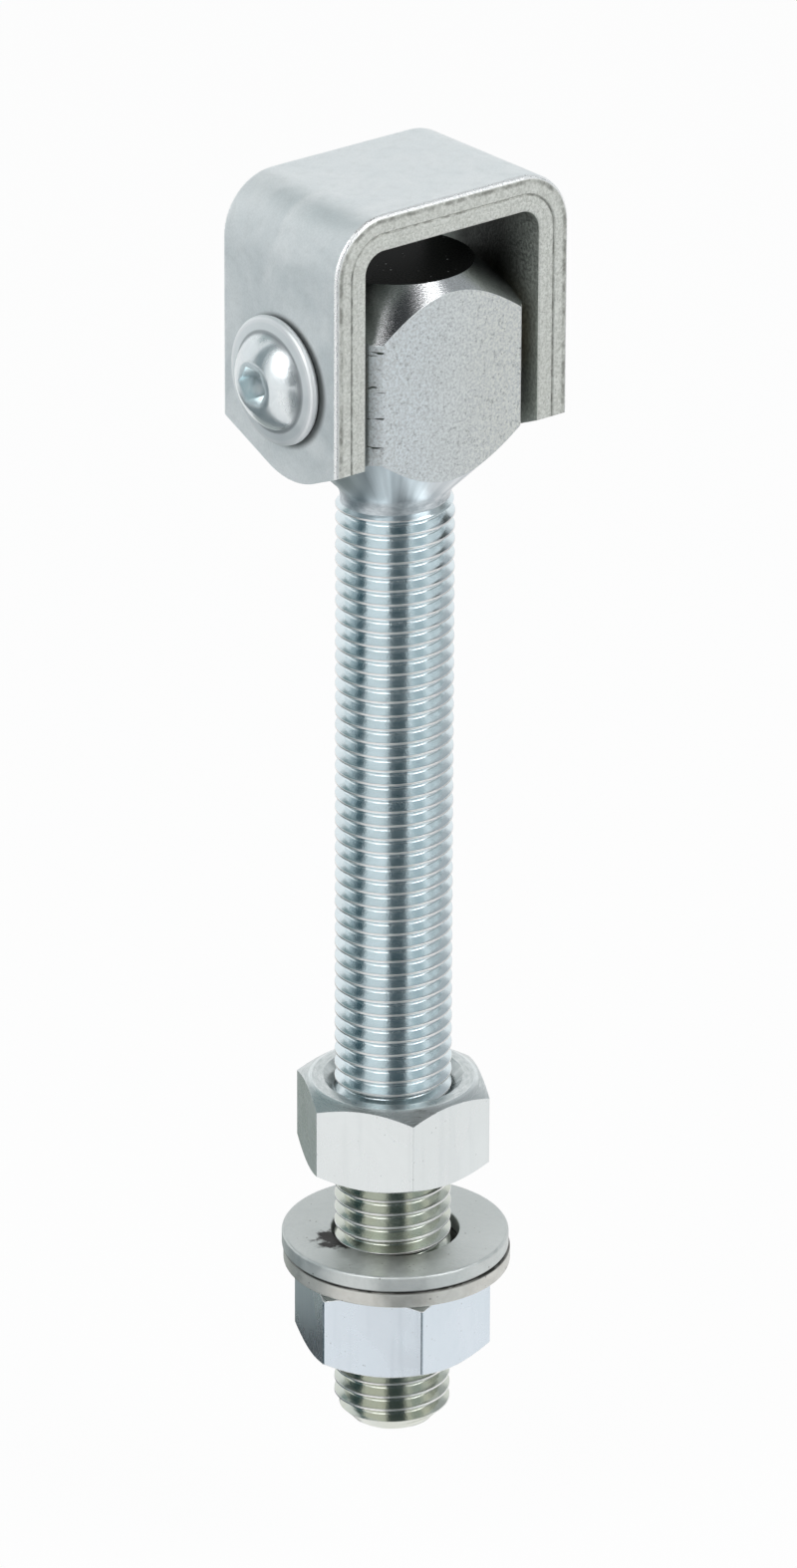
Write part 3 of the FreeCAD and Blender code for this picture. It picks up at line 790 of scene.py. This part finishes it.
def make_bracket():
    """Sweep the strip's section up one leg, over the bridge and down the other, then crop the leg ends."""
    half_depth = BRACKET_HIGH.y
    edge = arc((SHEAR_ROLL, SHEAR_ROLL), SHEAR_ROLL, 180, 270, 5)
    edge += [
        (SHEAR_GROOVE - GROOVE_LEAD, 0.0),
        (SHEAR_GROOVE, GROOVE_DEPTH),
        (SHEAR_GROOVE + GROOVE_TRAIL, BREAK_DEPTH),
        (SHEAR_LINE - LINE_HALF, BREAK_DEPTH),
        (SHEAR_LINE, LINE_DEPTH),
        (SHEAR_LINE + LINE_HALF, INNER_DEPTH),
    ]
    edge += arc((PLATE - INNER_EDGE, INNER_DEPTH + INNER_EDGE), INNER_EDGE, 270, 360, 3)
    section = [(across, -half_depth + inset) for across, inset in edge]
    section += [(across, half_depth - inset) for across, inset in reversed(edge)]

    outer = BRACKET_HIGH.x
    bend_outer = BEND_RADIUS + PLATE
    start = BRACKET_LOW.z - PLATE
    bm = bmesh.new()
    verts = [bm.verts.new((across - outer, depth, start)) for across, depth in section]
    front = [bm.edges.new(pair) for pair in zip(verts, verts[1:] + verts[:1])]

    def push(edges, step):
        made = bmesh.ops.extrude_edge_only(bm, edges=edges)["geom"]
        moved = [item for item in made if isinstance(item, bmesh.types.BMVert)]
        bmesh.ops.translate(bm, verts=moved, vec=step)
        return [item for item in made if isinstance(item, bmesh.types.BMEdge) and item.is_boundary]

    def bend(edges, centre):
        ends = list({vert for item in edges for vert in item.verts})
        made = bmesh.ops.spin(bm, geom=ends + edges, cent=centre, axis=(0, 1, 0), angle=math.radians(90),
                              steps=BEND_STEPS)
        return [item for item in made["geom_last"] if isinstance(item, bmesh.types.BMEdge)]

    leg = -bend_outer - start
    front = push(front, (0, 0, leg))
    front = bend(front, (bend_outer - outer, 0, -bend_outer))
    front = push(front, (2 * (outer - bend_outer), 0, 0))
    front = bend(front, (outer - bend_outer, 0, -bend_outer))
    push(front, (0, 0, -leg))

    centre = Vector((0, LEG_END_OFFSET, BRACKET_LOW.z + LEG_END_RADIUS))
    for step in range(LEG_END_STEPS + 1):
        angle = math.radians(LEG_END_SLOPE * (2 * step / LEG_END_STEPS - 1))
        normal = Vector((0, math.sin(angle), -math.cos(angle)))
        cut_flat(bm, centre + normal * LEG_END_RADIUS, normal)
    bmesh.ops.recalc_face_normals(bm, faces=bm.faces[:])
    bm = bored(bm, SCREW_HOLE, PIVOT, 2 * outer)
    # Faces turned inward take the inside material, painted dark as shade
    outside, sheared, inside = range(3)
    for face in bm.faces:
        middle = face.calc_center_median()
        inward = face.normal.x * middle.x < -0.3 * outer or (face.normal.z < -0.3 and middle.z > -bend_outer)
        face.material_index = sheared if abs(face.normal.y) > 0.45 else inside if inward else outside
    return finish_piece("folded_bracket", bm, [satin_plate, sheared_edge, painted_shade_inside], "u_bracket")


def make_bolt():
    """Turn the head, cut its four flats, cross bore it and add the thread."""
    head_top = BOLT_HIGH.z
    rim_top = PIVOT.z + EDGE_RISE
    rim_low = PIVOT.z - EDGE_FALL
    neck_top = rim_low - (TURNED_RADIUS - NECK_RADIUS)
    run = NECK_ROUND * math.tan(math.radians(22.5))
    neck_low = neck_top - NECK_LENGTH - THREAD_RUN_OUT
    section = [
        (0, head_top),
        (TOP_FACE, head_top),
        (TURNED_RADIUS, rim_top),
        (TURNED_RADIUS, rim_low),
    ]
    section += arc((NECK_RADIUS + NECK_ROUND, neck_top - run), NECK_ROUND, 135, 180, 6)
    section += [(NECK_RADIUS, neck_low), (0, neck_low)]
    bm = turn(section, HEAD_SPIN)
    # The end facing up takes the painted dark reflection
    cone, flat, top = 1, 2, 3
    for face in bm.faces:
        turned_corner = abs(face.normal.z) < 0.01 and face.calc_center_median().z > rim_low
        face.material_index = top if face.normal.z > 0.99 else flat if turned_corner else cone
    for quarter in range(4):
        normal = Matrix.Rotation(math.radians(90 * quarter), 3, "Z") @ Vector((1, 0, 0))
        cut_flat(bm, normal * (BOLT_HIGH.y if quarter % 2 else BOLT_HIGH.x), normal, material=flat)
    soften(bm, flat_rims(bm, FLAT_ANGLE, flat, True), HEAD_CORNER_ROUND, 3)
    soften(bm, flat_rims(bm, HEAD_ARC_ANGLE, flat, False), HEAD_ARC_ROUND)
    bm = bored(bm, BUSH_BORE, PIVOT, 2 * BOLT_HIGH.x)

    thread = make_thread(neck_top - NECK_LENGTH, BOLT_LOW.z)
    mesh = bpy.data.meshes.new("thread")
    thread.to_mesh(mesh)
    thread.free()
    bm.from_mesh(mesh)
    bpy.data.meshes.remove(mesh)
    return finish_piece("head_bolt", bm, [rolled_thread, turned_cone, grained_flat, painted_black_top], "hinge_bolt")


def make_thread(top, tip):
    """Spin one pitch of the thread's section down the shank as a screw."""
    root = THREAD_RADIUS - THREAD_DEPTH
    corner = THREAD_PITCH / 2 - CREST_HALF
    half = [(root, 0)]
    half += [
        (root + ROOT_ROUND * (1 - math.cos(math.radians(angle))), ROOT_ROUND * math.sin(math.radians(angle)))
        for angle in (30, 60)
    ]
    half += [(THREAD_RADIUS - CREST_DROP, corner - CREST_SIDE), (THREAD_RADIUS, corner + CREST_EASE)]
    section = half + [(radius, THREAD_PITCH - drop) for radius, drop in reversed(half)]

    start = top + 2 * THREAD_PITCH
    turns = math.ceil((start - tip) / THREAD_PITCH / 2 ** THREAD_DOUBLINGS) + 1
    bm = bmesh.new()
    verts = [bm.verts.new((radius, 0, start - drop)) for radius, drop in section]
    edges = [bm.edges.new(pair) for pair in zip(verts, verts[1:])]
    bmesh.ops.spin(bm, geom=verts + edges, cent=(0, 0, 0), axis=(0, 0, 1), angle=-math.tau * turns,
                   steps=turns * THREAD_STEPS, dvec=(0, 0, -THREAD_PITCH / THREAD_STEPS))
    for doubling in range(THREAD_DOUBLINGS):
        everything = bm.verts[:] + bm.edges[:] + bm.faces[:]
        copy = bmesh.ops.duplicate(bm, geom=everything)["geom"]
        moved = [item for item in copy if isinstance(item, bmesh.types.BMVert)]
        bmesh.ops.translate(bm, verts=moved, vec=(0, 0, -THREAD_PITCH * turns * 2 ** doubling))
    bmesh.ops.remove_doubles(bm, verts=bm.verts[:], dist=5 * MERGE)
    bmesh.ops.recalc_face_normals(bm, faces=bm.faces[:])

    hidden = NECK_RADIUS - THREAD_HIDDEN
    for vert in bm.verts:
        radius = math.hypot(vert.co.x, vert.co.y)
        grown = min(max((top - vert.co.z) / THREAD_RUN_OUT, 0), 1)
        wanted = hidden + (radius - hidden) * grown * grown * (3 - 2 * grown)
        wanted = min(wanted, THREAD_RADIUS - TIP_CHAMFER + max(vert.co.z - tip, 0))
        vert.co.x *= wanted / radius
        vert.co.y *= wanted / radius
    cut_flat(bm, (0, 0, top + THREAD_OVERLAP), (0, 0, 1))
    cut_flat(bm, (0, 0, tip), (0, 0, -1))
    return bm


def make_nut(name, node, turned, finish):
    """Turn a ring with bevelled and countersunk faces, then cut its six flats."""
    low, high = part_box(node)
    middle = (low.z + high.z) / 2
    half = (high.z - low.z) / 2
    outside = NUT_FLAT / math.cos(math.radians(30)) + NUT_MARGIN
    shoulder = half - (outside - NUT_FACE) * math.tan(math.radians(NUT_BEVEL))
    upper = [
        (NUT_BORE, half - NUT_COUNTERSINK),
        (NUT_BORE + NUT_COUNTERSINK - SINK_EASE_IN, half - NUT_EASE),
        (NUT_BORE + NUT_COUNTERSINK + SINK_EASE_OUT, half),
        (NUT_FACE - FACE_EASE_IN, half),
        (NUT_FACE + FACE_EASE_OUT, half - NUT_EASE),
        (outside, shoulder),
    ]
    section = upper + [(radius, -height) for radius, height in reversed(upper)]
    bm = turn(section, NUT_SPIN, closed=True)
    flat, rim = 1, 2
    for side in range(6):
        angle = math.radians(turned + 30 + 60 * side)
        normal = Vector((math.cos(angle), math.sin(angle), 0))
        cut_flat(bm, normal * NUT_FLAT, normal, material=flat)
    soften(bm, flat_rims(bm, FLAT_ANGLE, flat, True), NUT_CORNER_ROUND, 3)
    # The rounded arcs take the painted edge highlight
    soften(bm, flat_rims(bm, NUT_ARC_ANGLE, flat, False), NUT_ARC_ROUND, material=rim)
    bmesh.ops.translate(bm, verts=bm.verts[:], vec=(0, 0, middle))
    return finish_piece(name, bm, [faced_nut, finish, painted_edge_highlight], node)


def make_washer(name, node, finish):
    """Turn a flat ring whose rims were rounded by the punch."""
    low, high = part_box(node)
    rim = (high.x - low.x) / 2
    thick = high.z - low.z
    small = WASHER_EDGE / 2
    section = arc((WASHER_BORE + small, small), small, 180, 270, 3)
    section += arc((rim - WASHER_EDGE, WASHER_EDGE), WASHER_EDGE, -90, 0, 4)
    section += arc((rim - WASHER_EDGE, thick - WASHER_EDGE), WASHER_EDGE, 0, 90, 4)
    section += arc((WASHER_BORE + small, thick - small), small, 90, 180, 3)
    bm = turn(section, NUT_SPIN, closed=True)
    bmesh.ops.translate(bm, verts=bm.verts[:], vec=((low.x + high.x) / 2, (low.y + high.y) / 2, low.z))
    return finish_piece(name, bm, [finish], node)


def make_screw(name, node, side):
    """Turn the flange and dome, then sink a hexagon socket into the crown."""
    flange = (SCREW_HIGH.z - SCREW_LOW.z) / 2
    shank = BRACKET_HIGH.x - SCREW_LOW.x
    crown = SOCKET_CORNER + SOCKET_LAND
    rise = HEAD_HEIGHT - FLANGE_RISE
    fall = DOME_FOOT - crown
    chord = math.hypot(rise, fall)
    sink = math.sqrt(DOME_RADIUS ** 2 - (chord / 2) ** 2) / chord
    centre = ((DOME_FOOT + crown) / 2 - sink * rise, FLANGE_RISE + rise / 2 - sink * fall)
    first = math.degrees(math.atan2(FLANGE_RISE - centre[1], DOME_FOOT - centre[0]))
    last = math.degrees(math.atan2(HEAD_HEIGHT - centre[1], crown - centre[0]))
    small = FLANGE_RIM / 2
    section = [
        (0, -shank),
        (SCREW_RADIUS - SCREW_CHAMFER, -shank),
        (SCREW_RADIUS, SCREW_CHAMFER - shank),
        (SCREW_RADIUS, 0),
    ]
    section += arc((flange - small, small), small, -90, 75, 6)
    section += arc(centre, DOME_RADIUS, first, last, 10)
    section += [(0, HEAD_HEIGHT)]
    bm = turn(section, SCREW_SPIN)
    cutter = bmesh.new()
    bmesh.ops.create_cone(cutter, cap_ends=True, segments=6, radius1=SOCKET_CORNER, radius2=SOCKET_CORNER,
                          depth=2 * SOCKET_DEPTH, matrix=Matrix.Translation((0, 0, HEAD_HEIGHT)))
    bm = carved(bm, cutter)
    outside, socket = range(2)
    lowest = HEAD_HEIGHT - SOCKET_MARGIN * SOCKET_DEPTH
    for face in bm.faces:
        middle = face.calc_center_median()
        sunk = math.hypot(middle.x, middle.y) < SOCKET_CORNER and lowest < middle.z < HEAD_HEIGHT
        face.material_index = socket if sunk else outside

    turned = Matrix.Rotation(math.radians(90 * side), 4, "Y")
    seat = Vector((side * BRACKET_HIGH.x, 0, PIVOT.z))
    bmesh.ops.transform(bm, matrix=Matrix.Translation(seat) @ turned, verts=bm.verts[:])
    return finish_piece(name, bm, [bright_screw, painted_light_socket], node)


make_bracket()
make_bolt()
make_screw("left_screw", "pivot_screw_left", -1)
make_screw("right_screw", "pivot_screw_right", 1)
make_nut("top_nut", "upper_nut", UPPER_NUT_TURN, pale_nut)
make_nut("bottom_nut", "lower_nut", LOWER_NUT_TURN, blue_nut)
make_washer("top_washer", "upper_washer", spotted_washer)
make_washer("bottom_washer", "lower_washer", dull_washer)
for node, material in (("pivot_pin", ground_pin), ("bush_left", bush_bronze), ("bush_right", bush_bronze)):
    frame["nodes"][node].data.materials.clear()
    frame["nodes"][node].data.materials.append(material)


# Studio

def make_floor():
    """A white floor that keeps a soft shadow."""
    bm = bmesh.new()
    bmesh.ops.create_grid(bm, x_segments=1, y_segments=1, size=FLOOR_REACH,
                          matrix=Matrix.Translation((0, 0, BOLT_LOW.z - FLOOR_GAP)))
    floor = mesh_object("floor", bm)
    material = bpy.data.materials.new("floor")
    material.use_nodes = True
    tree = material.node_tree
    paint = tree.nodes["Principled BSDF"]
    paint.inputs["Base Color"].default_value = FLOOR_PAINT
    paint.inputs["Roughness"].default_value = FLOOR_ROUGHNESS
    paint.inputs["Specular IOR Level"].default_value = 0.0
    path = put(tree, "LightPath").outputs
    seen = calc(tree, "MAXIMUM", path["Is Camera Ray"], path["Is Glossy Ray"])
    seen = calc(tree, "MAXIMUM", seen, path["Is Transmission Ray"])
    white = put(tree, "Emission", {"Color": (1, 1, 1, 1), "Strength": 1.0})
    share = times(tree, seen, FLOOR_GLOW)
    mix = put(tree, "MixShader", {"Fac": share, 1: paint.outputs["BSDF"], 2: white.outputs["Emission"]})
    tree.links.new(mix.outputs["Shader"], tree.nodes["Material Output"].inputs["Surface"])
    floor.data.materials.append(material)


def make_card(name, start, end, near, far, shade):
    """A sheet of card on the floor, between two azimuths, that shows only in reflections."""
    bm = bmesh.new()
    height = BOLT_LOW.z - FLOOR_GAP + CARD_LIFT
    verts = [bm.verts.new((0, -reach, height)) for reach in (near, far)]
    edge = bm.edges.new(verts)
    bmesh.ops.rotate(bm, verts=verts, cent=(0, 0, 0), matrix=Matrix.Rotation(math.radians(start), 3, "Z"))
    bmesh.ops.spin(bm, geom=verts + [edge], cent=(0, 0, 0), axis=(0, 0, 1), angle=math.radians(end - start),
                   steps=CARD_STEPS)
    card = mesh_object(name, bm)
    material = bpy.data.materials.new(name)
    material.use_nodes = True
    tree = material.node_tree
    glow = put(tree, "Emission", {"Color": (*shade, 1), "Strength": 1.0})
    tree.links.new(glow.outputs["Emission"], tree.nodes["Material Output"].inputs["Surface"])
    tree.nodes.remove(tree.nodes["Principled BSDF"])
    card.data.materials.append(material)
    card.visible_camera = False
    card.visible_diffuse = False
    card.visible_shadow = False


def direction(azimuth, elevation):
    """Where an azimuth and an elevation point to, with the front at 0 and the right at 90."""
    around, rise = math.radians(azimuth), math.radians(elevation)
    return Vector((math.sin(around) * math.cos(rise), -math.cos(around) * math.cos(rise), math.sin(rise)))


def make_lamp(name, azimuth, elevation, distance, width, height, watts):
    """A soft box that faces the object."""
    lamp = bpy.data.lights.new(name, "AREA")
    lamp.shape = "RECTANGLE"
    lamp.size = width
    lamp.size_y = height
    lamp.energy = watts
    item = bpy.data.objects.new(name, lamp)
    away = direction(azimuth, elevation)
    item.location = Vector((0, 0, VIEW_HEIGHT)) + away * distance
    item.rotation_mode = "QUATERNION"
    item.rotation_quaternion = away.to_track_quat("Z", "Y")
    bpy.context.scene.collection.objects.link(item)


def make_world():
    """Tall panels round the object, pale and dark by turns, under a dark ceiling."""
    world = bpy.data.worlds.new("studio")
    bpy.context.scene.world = world
    world.use_nodes = True
    tree = world.node_tree
    look = split(tree, put(tree, "TexCoord").outputs["Generated"])
    azimuth = calc(tree, "ARCTAN2", look["X"], times(tree, look["Y"], -1.0))
    colour = WALL
    for start, end, low, high, shade in PANELS:
        sides = (start - PANEL_BLUR, start + PANEL_BLUR, end - PANEL_BLUR, end + PANEL_BLUR)
        wide = band(tree, azimuth, *(math.radians(side) for side in sides))
        tall = band(tree, look["Z"], low - PANEL_FADE, low + PANEL_FADE, high - PANEL_FADE, high + PANEL_FADE)
        colour = tint(tree, times(tree, wide, tall), colour, shade)
    colour = tint(tree, span(tree, look["Z"], CEILING_START, CEILING_FULL), colour, CEILING)
    tree.links.new(colour, tree.nodes["Background"].inputs["Color"])


def make_camera():
    """A long lens at the photograph's viewing angle."""
    back = direction(VIEW_AZIMUTH, VIEW_ELEVATION)
    right = direction(VIEW_AZIMUTH + 90, 0)
    up = back.cross(right)
    target = right * VIEW_ASIDE + Vector((0, 0, VIEW_HEIGHT))
    roll = math.radians(VIEW_ROLL)
    across = right * math.cos(roll) + up * math.sin(roll)
    above = up * math.cos(roll) - right * math.sin(roll)
    data = bpy.data.cameras.new("camera")
    data.sensor_width = SENSOR
    data.lens = FOCAL_PIXELS / IMAGE_HEIGHT * SENSOR
    camera = bpy.data.objects.new("camera", data)
    place = Matrix((across, above, back)).transposed().to_4x4()
    place.translation = target + back * VIEW_DISTANCE
    camera.matrix_world = place
    data.clip_end = VIEW_FAR
    bpy.context.scene.collection.objects.link(camera)
    bpy.context.scene.camera = camera


make_floor()
for card in CARDS:
    make_card(*card)
for lamp in LAMPS:
    make_lamp(*lamp)
make_world()
make_camera()
bpy.context.scene.view_settings.view_transform = "Standard"
